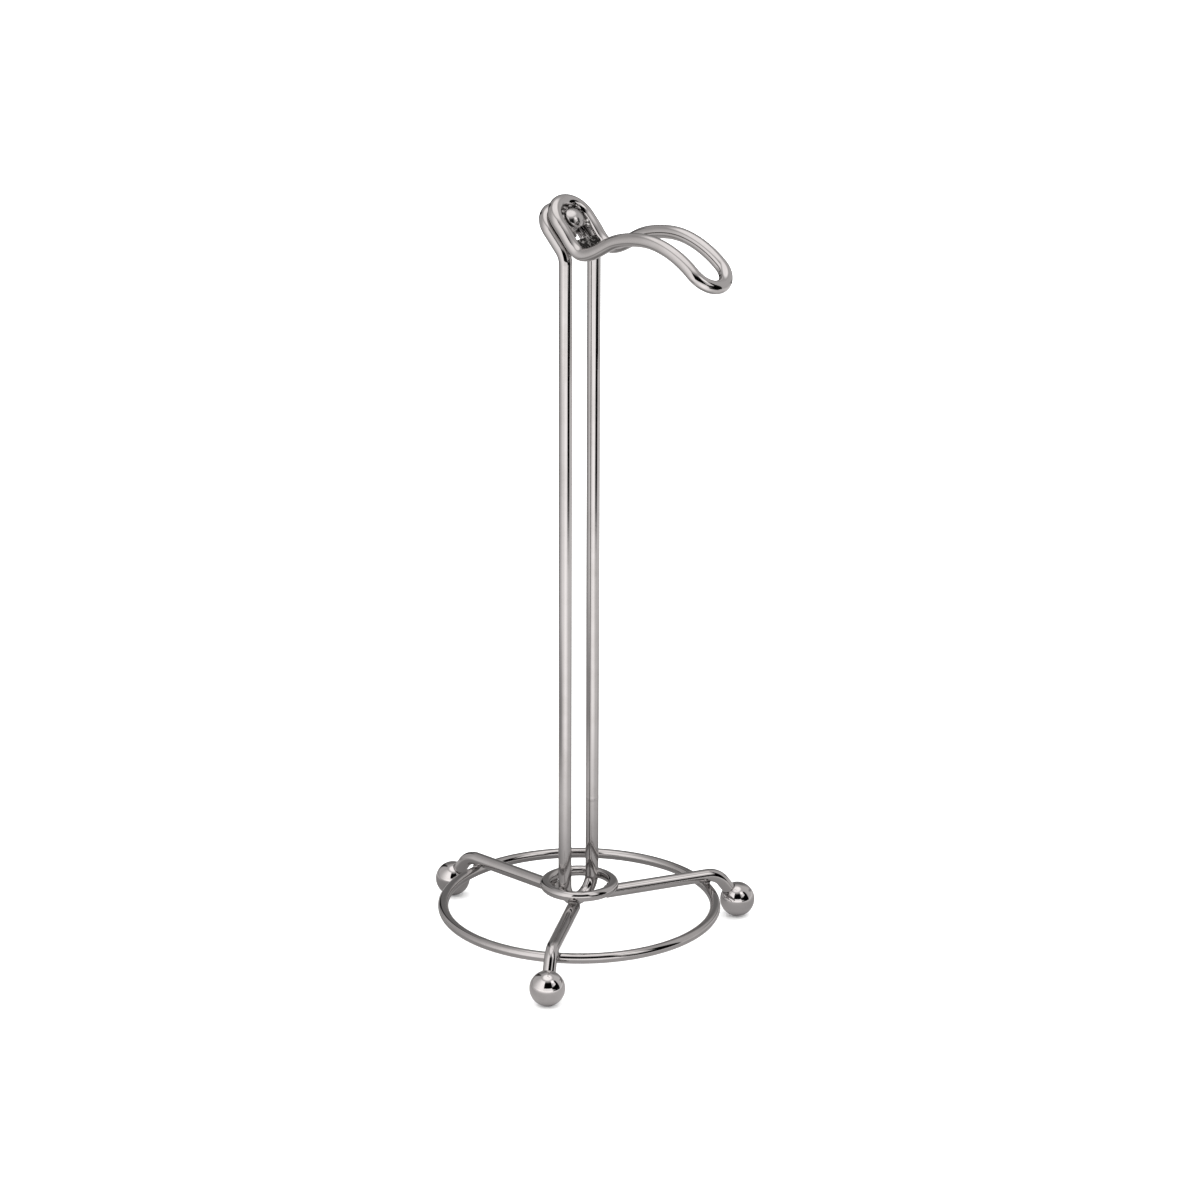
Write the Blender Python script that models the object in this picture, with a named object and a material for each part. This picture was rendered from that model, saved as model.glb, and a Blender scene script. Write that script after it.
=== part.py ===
# Countertop banana hook stand.
# Wire ring base on three ball feet, a post bent from one closed loop of wire,
# and a closed-loop hook that turns on one screw at the post's bent-back top.
# Metres, +Z up. +X is the way the hook points, Y runs across the two wires.

import bpy
import numpy as np
from math import sin, cos, pi, radians, sqrt, atan2
from mathutils import Vector, Matrix

for old in list(bpy.data.objects):
    bpy.data.objects.remove(old, do_unlink=True)

# ---------------------------------------------------------------- dimensions
GAP = 0.0003             # air between two pieces that touch

WIRE_R = 0.0030          # legs, post and hook: 6 mm wire
RING_WIRE_R = 0.0024     # base ring and hub ring: 4.8 mm wire

BALL_R = 0.0080          # 16 mm ball feet
BALL_Z = 0.0079          # ball centre; a 0.1 mm deep flat rests on the table
FOOT_R = 0.0777          # ball centres, out from the base's axis
SOCKET_DEPTH = 0.0055    # how far a leg's end goes into its ball

RING_R = 0.06215         # base ring, to the wire's centre
RING_Z = 0.01592
HUB_R = 0.01555          # hub ring, to the wire's centre
HUB_Z = 0.02615

LEG_IN_R = 0.0132        # leg's inner end, under the hub ring
LEG_IN_Z = 0.02040
LEG_BEND_R = 0.0675      # corner of the bend beyond the base ring
LEG_BEND_Z = 0.02175
LEG_BEND_RADIUS = 0.0094

POST_X = -0.0005         # plane of the uprights, from the base's axis
POST_HALF = 0.0095       # half the spacing of the two uprights
POST_LOW_Z = 0.0190      # lowest point of the U-bend's centre line
POST_BEND_Z = 0.3229     # corner where the top leans back
POST_BEND_RADIUS = 0.0090
POST_TOP_LEN = 0.0230    # corner to the end of the hairpin
TILT = radians(43.0)     # lean of the hairpin and of the hook's eye

HOOK_HALF = 0.00955      # half the spacing of the hook's two wires
EYE_FOOT = (0.0002, 0.3322)   # (x, z) where the eye's straight part ends
EYE_LEN = 0.0163         # straight part, up to the end of the loop
HOOK_ARM = (             # (x, z) of the bends of the arm, eye to tip
    (0.0071, 0.3258), (0.0173, 0.3284), (0.0268, 0.3339), (0.0366, 0.3367),
    (0.0470, 0.3374), (0.0578, 0.3349), (0.0682, 0.3293), (0.0775, 0.3212),
)

PLATE_T = 0.0015         # sheet thickness of the two eye plates
SCREW_UP = 0.0           # screw axis above the centre of the eye's round end
HEAD_R = 0.0049          # dome head
HEAD_H = 0.0031
SHANK_R = 0.0024
SCREW_LEN = 0.0160
CLEAR_R = 0.0027         # holes that the shank turns in
SPACER_R = 0.0044
LOCK_R = 0.0042
LOCK_T = 0.0011
NUT_FLAT = 0.0080        # across flats
NUT_T = 0.0040
BRACE_T = 0.0015
BRACE_LEN = 0.0048

TUBE_RES = 4             # bevel resolution of a wire: 12 sides

# the bounding box is centred on the frame's origin
BASE_X = (FOOT_R + BALL_R - HOOK_ARM[-1][0] - WIRE_R) / 2

# ----------------------------------------------------------------- materials
def make_material(name, color, metallic, roughness):
    mat = bpy.data.materials.new(name)
    mat.use_nodes = True
    bsdf = mat.node_tree.nodes["Principled BSDF"]
    bsdf.inputs["Base Color"].default_value = (*color, 1.0)
    bsdf.inputs["Metallic"].default_value = metallic
    bsdf.inputs["Roughness"].default_value = roughness
    mat.diffuse_color = (*color, 1.0)
    return mat

CHROME = (0.78, 0.77, 0.76)
ZINC = (0.62, 0.62, 0.63)
DARK = (0.20, 0.20, 0.21)


def finish(obj, name, color=CHROME, metallic=1.0, roughness=0.08):
    obj.name = name
    obj.data.name = name
    obj.data.materials.clear()
    obj.data.materials.append(make_material(name, color, metallic, roughness))
    return obj


def link(obj):
    bpy.context.scene.collection.objects.link(obj)
    return obj

# --------------------------------------------------------------- wire shapes
def arc(center, radius, a0, a1, steps):
    """Points of an arc in a plane, angles in radians, both ends included."""
    out = []
    for i in range(steps + 1):
        a = a0 + (a1 - a0) * i / steps
        out.append((center[0] + radius * cos(a), center[1] + radius * sin(a)))
    return out


def spline_through(points, step):
    """Natural cubic spline through (x, z) points, read at an even step."""
    p = np.array(points, dtype=float)
    t = np.concatenate(([0.0], np.cumsum(np.linalg.norm(np.diff(p, axis=0), axis=1))))
    n = len(t)
    h = np.diff(t)
    a = np.zeros((n, n))
    b = np.zeros((n, 2))
    a[0, 0] = a[-1, -1] = 1.0
    for i in range(1, n - 1):
        a[i, i - 1] = h[i - 1]
        a[i, i] = 2 * (h[i - 1] + h[i])
        a[i, i + 1] = h[i]
        b[i] = 6 * ((p[i + 1] - p[i]) / h[i] - (p[i] - p[i - 1]) / h[i - 1])
    m = np.linalg.solve(a, b)
    count = int(round(t[-1] / step))
    out = []
    for s in np.linspace(0.0, t[-1], count + 1):
        i = min(int(np.searchsorted(t, s, side="right")) - 1, n - 2)
        u, v = s - t[i], t[i + 1] - s
        q = (m[i] * v ** 3 + m[i + 1] * u ** 3) / (6 * h[i])
        q = q + (p[i] / h[i] - m[i] * h[i] / 6) * v + (p[i + 1] / h[i] - m[i + 1] * h[i] / 6) * u
        out.append((float(q[0]), float(q[1])))
    return out


class Profile:
    """A bent centre line in the X-Z plane, read by distance along it."""

    def __init__(self, points):
        self.p = np.array(points, dtype=float)
        self.s = np.concatenate(([0.0], np.cumsum(np.linalg.norm(np.diff(self.p, axis=0), axis=1))))
        self.length = float(self.s[-1])

    def at(self, s):
        return (float(np.interp(s, self.s, self.p[:, 0])), float(np.interp(s, self.s, self.p[:, 1])))


def loop_on_profile(profile, half, stations, end_steps):
    """Closed wire loop with two parallel runs and two round ends, laid on a bent profile."""
    flat = []
    for i in range(end_steps + 1):                      # round end at the start
        a = pi / 2 * i / end_steps
        flat.append((half - half * cos(a), half * sin(a)))
    for s in stations:                                  # the parallel run
        if half * 1.05 < s < profile.length - half * 1.05:
            flat.append((s, half))
    for i in range(end_steps + 1):                      # round end at the far end
        a = pi / 2 * i / end_steps
        flat.append((profile.length - half + half * sin(a), half * cos(a)))
    near = [(s, -y) for s, y in flat]
    far = [(s, y) for s, y in reversed(flat[1:-1])]
    out = []
    for s, y in near + far:
        x, z = profile.at(s)
        out.append((BASE_X + x, y, z))
    return out


def wire(name, points, radius, closed, color=CHROME):
    curve = bpy.data.curves.new(name, "CURVE")
    curve.dimensions = "3D"
    curve.twist_mode = "MINIMUM"
    curve.bevel_depth = radius
    curve.bevel_resolution = TUBE_RES
    curve.use_fill_caps = True
    spline = curve.splines.new("POLY")
    spline.points.add(len(points) - 1)
    for sp, co in zip(spline.points, points):
        sp.co = (co[0], co[1], co[2], 1.0)
    spline.use_cyclic_u = closed
    spline.use_smooth = True
    return finish(link(bpy.data.objects.new(name, curve)), name, color)

# --------------------------------------------------------------------- rings
def ring(name, radius, z, wire_r, segments):
    pts = []
    for i in range(segments):
        a = 2 * pi * i / segments
        pts.append((BASE_X + radius * cos(a), radius * sin(a), z))
    return wire(name, pts, wire_r, True)


ring("base_ring", RING_R, RING_Z, RING_WIRE_R, 72)
ring("hub_ring", HUB_R, HUB_Z, RING_WIRE_R, 32)

# --------------------------------------------------------- legs and ball feet
LEG_ANGLES = (("rear", 180.0), ("front_left", 60.0), ("front_right", -60.0))


def leg_profile():
    """(r, z) of a leg: inner end, bend, down to the stop in the ball's socket."""
    a = Vector((LEG_IN_R, LEG_IN_Z))
    b = Vector((LEG_BEND_R, LEG_BEND_Z))
    c = Vector((FOOT_R, BALL_Z))
    into = (c - b).normalized()
    end = c - into * (BALL_R - SOCKET_DEPTH + GAP)
    u = (a - b).normalized()
    turn = u.angle(into)
    t = LEG_BEND_RADIUS / np.tan(turn / 2)
    bisector = (u + into).normalized()
    center = b + bisector * (LEG_BEND_RADIUS / sin(turn / 2))
    p0 = b + u * t
    p1 = b + into * t
    a0 = atan2(p0.y - center.y, p0.x - center.x)
    a1 = atan2(p1.y - center.y, p1.x - center.x)
    pts = [(a.x, a.y), ((a.x + p0.x) / 2, (a.y + p0.y) / 2)]
    pts += arc((center.x, center.y), LEG_BEND_RADIUS, a0, a1, 7)
    pts += [(end.x, end.y)]
    return pts, into


LEG_PTS, LEG_INTO = leg_profile()

for side, angle in LEG_ANGLES:
    c, s = cos(radians(angle)), sin(radians(angle))
    wire("leg_" + side, [(BASE_X + r * c, r * s, z) for r, z in LEG_PTS], WIRE_R, False)


def cutter(name, mesh_builder, matrix):
    mesh_builder()
    cut = bpy.context.object
    cut.name = name
    cut.matrix_world = matrix
    cut.hide_render = True
    cut.display_type = "WIRE"
    return cut


def apply_and_drop(obj, cuts):
    """Applies the object's modifiers and removes the cutters they used."""
    bpy.context.view_layer.update()
    deps = bpy.context.evaluated_depsgraph_get()
    mesh = bpy.data.meshes.new_from_object(obj.evaluated_get(deps))
    obj.modifiers.clear()
    obj.data = mesh
    for cut in cuts:
        bpy.data.objects.remove(cut, do_unlink=True)


def ball(name, angle):
    c, s = cos(radians(angle)), sin(radians(angle))
    center = Vector((BASE_X + FOOT_R * c, FOOT_R * s, BALL_Z))
    bpy.ops.mesh.primitive_uv_sphere_add(segments=32, ring_count=18, radius=BALL_R, location=center)
    obj = bpy.context.object
    into = Vector((LEG_INTO.x * c, LEG_INTO.x * s, LEG_INTO.y))
    # blind socket for the leg's end
    turn = into.to_track_quat("Z", "Y").to_matrix().to_4x4()
    bottom = center - into * (BALL_R - SOCKET_DEPTH)
    length = 0.012
    socket = cutter("socket_cut", lambda: bpy.ops.mesh.primitive_cylinder_add(
        vertices=24, radius=WIRE_R + GAP, depth=length),
        Matrix.Translation(bottom - into * (length / 2)) @ turn)
    flat = cutter("flat_cut", lambda: bpy.ops.mesh.primitive_cube_add(size=0.02),
                  Matrix.Translation((center.x, center.y, -0.01)))
    for cut in (socket, flat):
        mod = obj.modifiers.new("cut", "BOOLEAN")
        mod.operation = "DIFFERENCE"
        mod.object = cut
    apply_and_drop(obj, (socket, flat))
    obj.data.shade_smooth()
    obj.data.set_sharp_from_angle(angle=radians(35))
    return finish(obj, name)


for side, angle in LEG_ANGLES:
    ball("ball_foot_" + side, angle)

# ---------------------------------------------------------------------- post
def post_profile():
    t = POST_BEND_RADIUS * np.tan(TILT / 2)
    center = (POST_X - POST_BEND_RADIUS, POST_BEND_Z - t)
    pts = [(POST_X, POST_LOW_Z), (POST_X, POST_BEND_Z - t)]
    pts += arc(center, POST_BEND_RADIUS, 0.0, TILT, 12)[1:]
    pts.append((POST_X - sin(TILT) * POST_TOP_LEN, POST_BEND_Z + cos(TILT) * POST_TOP_LEN))
    return Profile(pts), t


POST, POST_T = post_profile()
bend_start = POST_BEND_Z - POST_T - POST_LOW_Z
stations = [0.05, 0.12, 0.20, 0.27]
stations += [bend_start + POST_BEND_RADIUS * TILT * i / 6 for i in range(7)]
stations += [POST.length - POST_HALF - 0.002]
wire("post_loop", loop_on_profile(POST, POST_HALF, stations, 8), WIRE_R, True)

# ---------------------------------------------------------------------- hook
ALONG = (-sin(TILT), cos(TILT))          # up the eye, in (x, z)
NORMAL = (cos(TILT), sin(TILT))          # out of the eye's front
eye_end = (EYE_FOOT[0] + ALONG[0] * EYE_LEN, EYE_FOOT[1] + ALONG[1] * EYE_LEN)
eye_pts = [(eye_end[0] + (EYE_FOOT[0] - eye_end[0]) * i / 3,
            eye_end[1] + (EYE_FOOT[1] - eye_end[1]) * i / 3) for i in range(4)]
HOOK = Profile(spline_through(eye_pts + list(HOOK_ARM), 0.0006))
run = [HOOK_HALF + 0.0026 * i for i in range(1, 60)]
wire("hook_loop", loop_on_profile(HOOK, HOOK_HALF, run, 8), WIRE_R, True)

# --------------------------------------------------- eye frames, plates, screw
def frame_at(x, z):
    """Axes: local X up the eye, local Y across, local Z out of its front."""
    m = Matrix(((ALONG[0], 0.0, NORMAL[0], BASE_X + x),
                (0.0, -1.0, 0.0, 0.0),
                (ALONG[1], 0.0, NORMAL[1], z),
                (0.0, 0.0, 0.0, 1.0)))
    return m


# centre of the eye's round end, and the screw's axis in the wire's mid plane
eye_center = (eye_end[0] - ALONG[0] * HOOK_HALF, eye_end[1] - ALONG[1] * HOOK_HALF)
screw_xz = (eye_center[0] + ALONG[0] * SCREW_UP, eye_center[1] + ALONG[1] * SCREW_UP)
SCREW_FRAME = frame_at(*screw_xz)

# the hairpin's mid plane lies this far behind the eye's
post_corner = (POST_X, POST_BEND_Z)
PLANES = ((EYE_FOOT[0] - post_corner[0]) * NORMAL[0] + (EYE_FOOT[1] - post_corner[1]) * NORMAL[1])


def solid_from_outline(outer, hole, thickness, z0):
    """Flat plate with an outline and a round hole, as one closed mesh.
    Both outlines hold the same number of points, matched by angle."""
    n = len(outer)
    verts = []
    for z in (z0, z0 + thickness):
        verts += [(x, y, z) for x, y in outer]
        verts += [(x, y, z) for x, y in hole]
    faces = []
    for i in range(n):
        j = (i + 1) % n
        faces.append((n + i, n + j, j, i))                              # back
        faces.append((2 * n + i, 2 * n + j, 3 * n + j, 3 * n + i))      # front
        faces.append((i, j, 2 * n + j, 2 * n + i))                      # rim
        faces.append((n + j, n + i, 3 * n + i, 3 * n + j))              # hole wall
    mesh = bpy.data.meshes.new("plate")
    mesh.from_pydata(verts, [], faces)
    mesh.validate()
    return mesh


def eye_plate(name, half, end_shift, low, frame, z_mid, color):
    """Plate that fills a loop's round end: round top, straight sides, straight
    lower edge, with the screw's hole at the local origin."""
    n = 48
    r = half - WIRE_R - GAP
    outer, hole = [], []
    for i in range(n):
        a = 2 * pi * i / n
        dx, dy = cos(a), sin(a)
        # distance from the screw's axis to the outline along this direction
        best = None
        if dx < -1e-9:
            best = low / -dx
        if abs(dy) > 1e-9:
            side = r / abs(dy)
            if side * dx < end_shift:
                best = side if best is None else min(best, side)
        b = -end_shift * dx
        disc = b * b - (end_shift ** 2 - r * r)
        round_hit = -b + sqrt(disc)
        if best is None or (round_hit * dx >= end_shift and round_hit < best):
            best = round_hit
        outer.append((best * dx, best * dy))
        hole.append((CLEAR_R * dx, CLEAR_R * dy))
    mesh = solid_from_outline(outer, hole, PLATE_T, z_mid - PLATE_T / 2)
    obj = link(bpy.data.objects.new(name, mesh))
    obj.matrix_world = frame
    mesh.shade_smooth()
    mesh.set_sharp_from_angle(angle=radians(30))
    return finish(obj, name, color, 1.0, 0.25)


eye_plate("hook_plate", HOOK_HALF, -SCREW_UP, 0.0042, SCREW_FRAME, 0.0, CHROME)

# hairpin's round end seen from the screw's axis
post_end = (POST_X + ALONG[0] * POST_TOP_LEN, POST_BEND_Z + ALONG[1] * POST_TOP_LEN)
post_center = (post_end[0] - ALONG[0] * POST_HALF, post_end[1] - ALONG[1] * POST_HALF)
shift = (post_center[0] - screw_xz[0]) * ALONG[0] + (post_center[1] - screw_xz[1]) * ALONG[1]
eye_plate("post_plate", POST_HALF, shift, 0.0042, SCREW_FRAME, -PLANES, CHROME)


def turned(name, profile, frame, segments, color=ZINC, roughness=0.2, angle=35):
    """Closed body of revolution about local Z from an (r, z) outline.
    The outline runs from top to bottom on the outside; r = 0 ends close it."""
    mesh = bpy.data.meshes.new(name)
    verts, faces, rows = [], [], []
    for r, z in profile:
        if r < 1e-9:
            rows.append([len(verts)])
            verts.append((0.0, 0.0, z))
        else:
            rows.append(list(range(len(verts), len(verts) + segments)))
            for i in range(segments):
                a = 2 * pi * i / segments
                verts.append((r * cos(a), r * sin(a), z))
    closed = profile[0][0] > 1e-9
    pairs = list(zip(rows, rows[1:])) + ([(rows[-1], rows[0])] if closed else [])
    for up, low in pairs:
        for i in range(segments):
            j = (i + 1) % segments
            if len(up) == 1:
                faces.append((up[0], low[i], low[j]))
            elif len(low) == 1:
                faces.append((up[i], low[0], up[j]))
            else:
                faces.append((up[i], low[i], low[j], up[j]))
    mesh.from_pydata(verts, [], faces)
    mesh.validate()
    mesh.shade_smooth()
    mesh.set_sharp_from_angle(angle=radians(angle))
    obj = link(bpy.data.objects.new(name, mesh))
    obj.matrix_world = frame
    return finish(obj, name, color, 1.0, roughness)


# screw: dome head above the plate, shank through both plates and the nut
head_z = PLATE_T / 2 + GAP
dome_r = (HEAD_R ** 2 + (HEAD_H - 0.0006) ** 2) / (2 * (HEAD_H - 0.0006))
rim_angle = np.arcsin(HEAD_R / dome_r)
head = []
for i in range(7):
    a = rim_angle * i / 6
    head.append((dome_r * sin(a), head_z + HEAD_H - dome_r * (1 - cos(a))))
head += [(HEAD_R, head_z), (SHANK_R, head_z),
         (SHANK_R, head_z - SCREW_LEN + 0.0006), (SHANK_R - 0.0006, head_z - SCREW_LEN), (0.0, head_z - SCREW_LEN)]
turned("pivot_screw", head, SCREW_FRAME, 24, CHROME, 0.1)


def washer(name, inner, outer, top, thickness, segments, color=ZINC):
    return turned(name, [(outer, top), (outer, top - thickness), (inner, top - thickness), (inner, top)],
                  SCREW_FRAME, segments, color)


spacer_top = -PLATE_T / 2 - GAP
spacer_len = PLANES - PLATE_T - 2 * GAP
washer("pivot_spacer", CLEAR_R, SPACER_R, spacer_top, spacer_len, 24)

lock_top = -PLANES - PLATE_T / 2 - GAP
# split lock washer: a ring with a narrow slot
n = 22
gap_angle = radians(14)
verts, faces = [], []
for i in range(n + 1):
    a = gap_angle / 2 + (2 * pi - gap_angle) * i / n
    for r, z in ((CLEAR_R, lock_top), (LOCK_R, lock_top), (LOCK_R, lock_top - LOCK_T), (CLEAR_R, lock_top - LOCK_T)):
        verts.append((r * cos(a), r * sin(a), z))
for i in range(n):
    for k in range(4):
        a, b = i * 4 + k, i * 4 + (k + 1) % 4
        faces.append((a, b, b + 4, a + 4))
faces += [(3, 2, 1, 0), (n * 4, n * 4 + 1, n * 4 + 2, n * 4 + 3)]
mesh = bpy.data.meshes.new("lock_washer")
mesh.from_pydata(verts, [], faces)
mesh.validate()
mesh.shade_smooth()
mesh.set_sharp_from_angle(angle=radians(35))
lock = link(bpy.data.objects.new("lock_washer", mesh))
lock.matrix_world = SCREW_FRAME
finish(lock, "lock_washer", ZINC, 1.0, 0.3)

# hexagon nut: six flats, round hole, matched by angle
nut_top = lock_top - LOCK_T - GAP
per_side = 4
outer, hole = [], []
for i in range(6 * per_side):
    a = 2 * pi * i / (6 * per_side)
    off = (a % (pi / 3)) - pi / 6
    r = NUT_FLAT / 2 / cos(off)
    outer.append((r * cos(a), r * sin(a)))
    hole.append(((SHANK_R + GAP) * cos(a), (SHANK_R + GAP) * sin(a)))
mesh = solid_from_outline(outer, hole, NUT_T, nut_top - NUT_T)
mesh.shade_smooth()
mesh.set_sharp_from_angle(angle=radians(30))
nut = link(bpy.data.objects.new("pivot_nut", mesh))
nut.matrix_world = SCREW_FRAME
finish(nut, "pivot_nut", ZINC, 1.0, 0.25)

# cross plate between the hook's wires at the foot of the eye
brace_half = HOOK_HALF - WIRE_R - GAP
bpy.ops.mesh.primitive_cube_add(size=1.0)
brace = bpy.context.object
bm_scale = Matrix.Diagonal((BRACE_LEN, 2 * brace_half, BRACE_T, 1.0))
brace.data.transform(bm_scale)
mid = -0.0034 - BRACE_LEN / 2
brace.matrix_world = frame_at(EYE_FOOT[0] + ALONG[0] * mid + NORMAL[0] * 0.0004,
                              EYE_FOOT[1] + ALONG[1] * mid + NORMAL[1] * 0.0004)
mod = brace.modifiers.new("edge", "BEVEL")
mod.width = 0.0003
mod.segments = 2
finish(brace, "hook_brace", DARK, 1.0, 0.45)
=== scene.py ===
# Looks of the banana hook stand: polished chrome wire, ball feet, welds and the pivot joint,
# on a plain white sweep in soft studio light.
from math import sin, cos, tan, pi, radians, degrees, sqrt, atan2, asin, hypot, exp

import bpy
import numpy as np
from mathutils import Vector, Matrix, noise


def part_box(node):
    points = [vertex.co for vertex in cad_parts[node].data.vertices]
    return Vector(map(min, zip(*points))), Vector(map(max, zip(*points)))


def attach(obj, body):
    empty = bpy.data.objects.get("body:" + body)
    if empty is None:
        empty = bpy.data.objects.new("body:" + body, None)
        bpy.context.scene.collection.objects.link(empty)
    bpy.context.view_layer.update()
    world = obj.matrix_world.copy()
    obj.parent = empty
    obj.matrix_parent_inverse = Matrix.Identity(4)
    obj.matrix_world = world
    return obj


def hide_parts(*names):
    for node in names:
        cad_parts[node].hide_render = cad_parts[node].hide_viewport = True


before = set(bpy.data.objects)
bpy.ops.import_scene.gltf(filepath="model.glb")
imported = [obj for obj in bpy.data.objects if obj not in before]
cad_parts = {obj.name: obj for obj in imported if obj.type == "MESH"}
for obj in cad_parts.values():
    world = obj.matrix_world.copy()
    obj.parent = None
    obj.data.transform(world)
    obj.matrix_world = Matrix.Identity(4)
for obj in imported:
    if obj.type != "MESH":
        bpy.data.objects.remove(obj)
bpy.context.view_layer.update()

# ------------------------------------------------------------ part dimensions
WIRE_R = 0.0030
RING_WIRE_R = 0.0024
BALL_R = 0.0080
BALL_Z = 0.0079
FOOT_R = 0.0777
SOCKET_DEPTH = 0.0055
RING_R, RING_Z = 0.06215, 0.01592
HUB_R, HUB_Z = 0.01555, 0.02615
LEG_IN_R, LEG_IN_Z = 0.0132, 0.02040
LEG_BEND_R, LEG_BEND_Z = 0.0675, 0.02175
LEG_BEND_RADIUS = 0.0094
POST_X, POST_HALF = -0.0005, 0.0095
POST_LOW_Z, POST_BEND_Z = 0.0190, 0.3229
POST_BEND_RADIUS, POST_TOP_LEN = 0.0090, 0.0230
TILT = radians(43.0)
HOOK_HALF = 0.00955
EYE_FOOT = (0.0002, 0.3322)
EYE_LEN = 0.0163
HOOK_ARM = (
    (0.0071, 0.3258), (0.0173, 0.3284), (0.0268, 0.3339), (0.0366, 0.3367),
    (0.0470, 0.3374), (0.0578, 0.3349), (0.0682, 0.3293), (0.0775, 0.3212),
)
PLATE_T = 0.0015
SCREW_UP = 0.0
HEAD_R, HEAD_H = 0.0049, 0.0031
SHANK_R, SCREW_LEN = 0.0024, 0.0160
CLEAR_R = 0.0027
SPACER_R = 0.0044
LOCK_R, LOCK_T = 0.0042, 0.0011
NUT_FLAT, NUT_T = 0.0080, 0.0040
BRACE_T, BRACE_LEN = 0.0015, 0.0048
BRACE_DOWN = 0.0034
PLATE_LOW = 0.0042
GAP = 0.0003
BASE_X = (FOOT_R + BALL_R - HOOK_ARM[-1][0] - WIRE_R) / 2

scene = bpy.context.scene


def link(obj):
    scene.collection.objects.link(obj)
    return obj

# ------------------------------------------------------------------ materials
class Nodes:
    """Small helper for building a material's node tree."""

    def __init__(self, name):
        self.mat = bpy.data.materials.new(name)
        self.mat.use_nodes = True
        self.t = self.mat.node_tree
        self.bsdf = self.t.nodes["Principled BSDF"]

    def new(self, kind, **values):
        n = self.t.nodes.new(kind)
        for k, v in values.items():
            if hasattr(n, k):
                setattr(n, k, v)
            else:
                n.inputs[k.replace("_", " ").title()].default_value = v
        return n

    def link(self, a, b):
        self.t.links.new(a, b)

    def ramp(self, source, lo, hi, out_lo, out_hi):
        m = self.t.nodes.new("ShaderNodeMapRange")
        m.inputs["From Min"].default_value = lo
        m.inputs["From Max"].default_value = hi
        m.inputs["To Min"].default_value = out_lo
        m.inputs["To Max"].default_value = out_hi
        self.link(source, m.inputs["Value"])
        return m.outputs["Result"]

    def math(self, op, a, b):
        m = self.t.nodes.new("ShaderNodeMath")
        m.operation = op
        for i, v in enumerate((a, b)):
            if isinstance(v, (int, float)):
                m.inputs[i].default_value = v
            else:
                self.link(v, m.inputs[i])
        return m.outputs[0]


def chrome(name, wire=True, base=(0.592, 0.578, 0.574), rough=0.035, streak=1.0, pits=0.35):
    """Polished chrome plate: drawing lines along the wire, faint orange peel,
    hairline scratches, finger smudges and a few pits in the plating."""
    k = Nodes(name)
    coord = k.new("ShaderNodeTexCoord")
    obj = coord.outputs["Object"]
    if wire:
        attr = k.new("ShaderNodeAttribute", attribute_name="wire_co")
        wire_co = attr.outputs["Vector"]
    else:
        wire_co = obj
    # drawing lines: noise stretched along the wire
    stretch = k.new("ShaderNodeMapping")
    stretch.inputs["Scale"].default_value = (4200, 4200, 80) if wire else (2600, 2600, 2600)
    k.link(wire_co, stretch.inputs["Vector"])
    lines = k.new("ShaderNodeTexNoise")
    lines.inputs["Scale"].default_value = 1.0
    lines.inputs["Detail"].default_value = 5.0
    lines.inputs["Roughness"].default_value = 0.6
    k.link(stretch.outputs["Vector"], lines.inputs["Vector"])
    # orange peel of the plating
    peel = k.new("ShaderNodeTexNoise")
    peel.inputs["Scale"].default_value = 1300.0
    peel.inputs["Detail"].default_value = 2.0
    k.link(obj, peel.inputs["Vector"])
    # long soft waves left by straightening rolls
    wave = k.new("ShaderNodeTexNoise")
    wave.inputs["Scale"].default_value = 70.0
    wave.inputs["Detail"].default_value = 1.0
    k.link(obj, wave.inputs["Vector"])
    # smudges
    smudge = k.new("ShaderNodeTexNoise")
    smudge.inputs["Scale"].default_value = 55.0
    smudge.inputs["Detail"].default_value = 6.0
    smudge.inputs["Roughness"].default_value = 0.65
    k.link(obj, smudge.inputs["Vector"])
    # pits
    pit = k.new("ShaderNodeTexVoronoi")
    pit.inputs["Scale"].default_value = 620.0
    k.link(obj, pit.inputs["Vector"])
    pit_mask = k.ramp(pit.outputs["Distance"], 0.02, 0.10, 1.0, 0.0)
    pick = k.ramp(pit.outputs["Color"], 0.93, 0.95, 0.0, 1.0)
    pit_on = k.math("MULTIPLY", pit_mask, pick)

    h = k.math("MULTIPLY", lines.outputs["Fac"], 0.55 * streak)
    h = k.math("ADD", h, k.math("MULTIPLY", peel.outputs["Fac"], 1.0))
    h = k.math("ADD", h, k.math("MULTIPLY", wave.outputs["Fac"], 7.0))
    h = k.math("SUBTRACT", h, k.math("MULTIPLY", pit_on, pits))
    bump = k.new("ShaderNodeBump")
    bump.inputs["Strength"].default_value = 1.0
    bump.inputs["Distance"].default_value = 0.0000035
    k.link(h, bump.inputs["Height"])
    k.link(bump.outputs["Normal"], k.bsdf.inputs["Normal"])

    r = k.ramp(smudge.outputs["Fac"], 0.42, 0.72, rough, rough + 0.075)
    r = k.math("ADD", r, k.ramp(lines.outputs["Fac"], 0.3, 0.8, 0.0, 0.03))
    r = k.math("ADD", r, k.math("MULTIPLY", pit_on, 0.3))
    k.link(r, k.bsdf.inputs["Roughness"])

    tint = k.new("ShaderNodeMix")
    tint.data_type = "RGBA"
    tint.inputs["A"].default_value = (*base, 1.0)
    tint.inputs["B"].default_value = (base[0] * 0.90, base[1] * 0.895, base[2] * 0.885, 1.0)
    k.link(k.ramp(smudge.outputs["Fac"], 0.45, 0.70, 0.0, 1.0), tint.inputs["Factor"])
    k.link(tint.outputs["Result"], k.bsdf.inputs["Base Color"])
    k.bsdf.inputs["Metallic"].default_value = 1.0
    return k.mat


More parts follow.
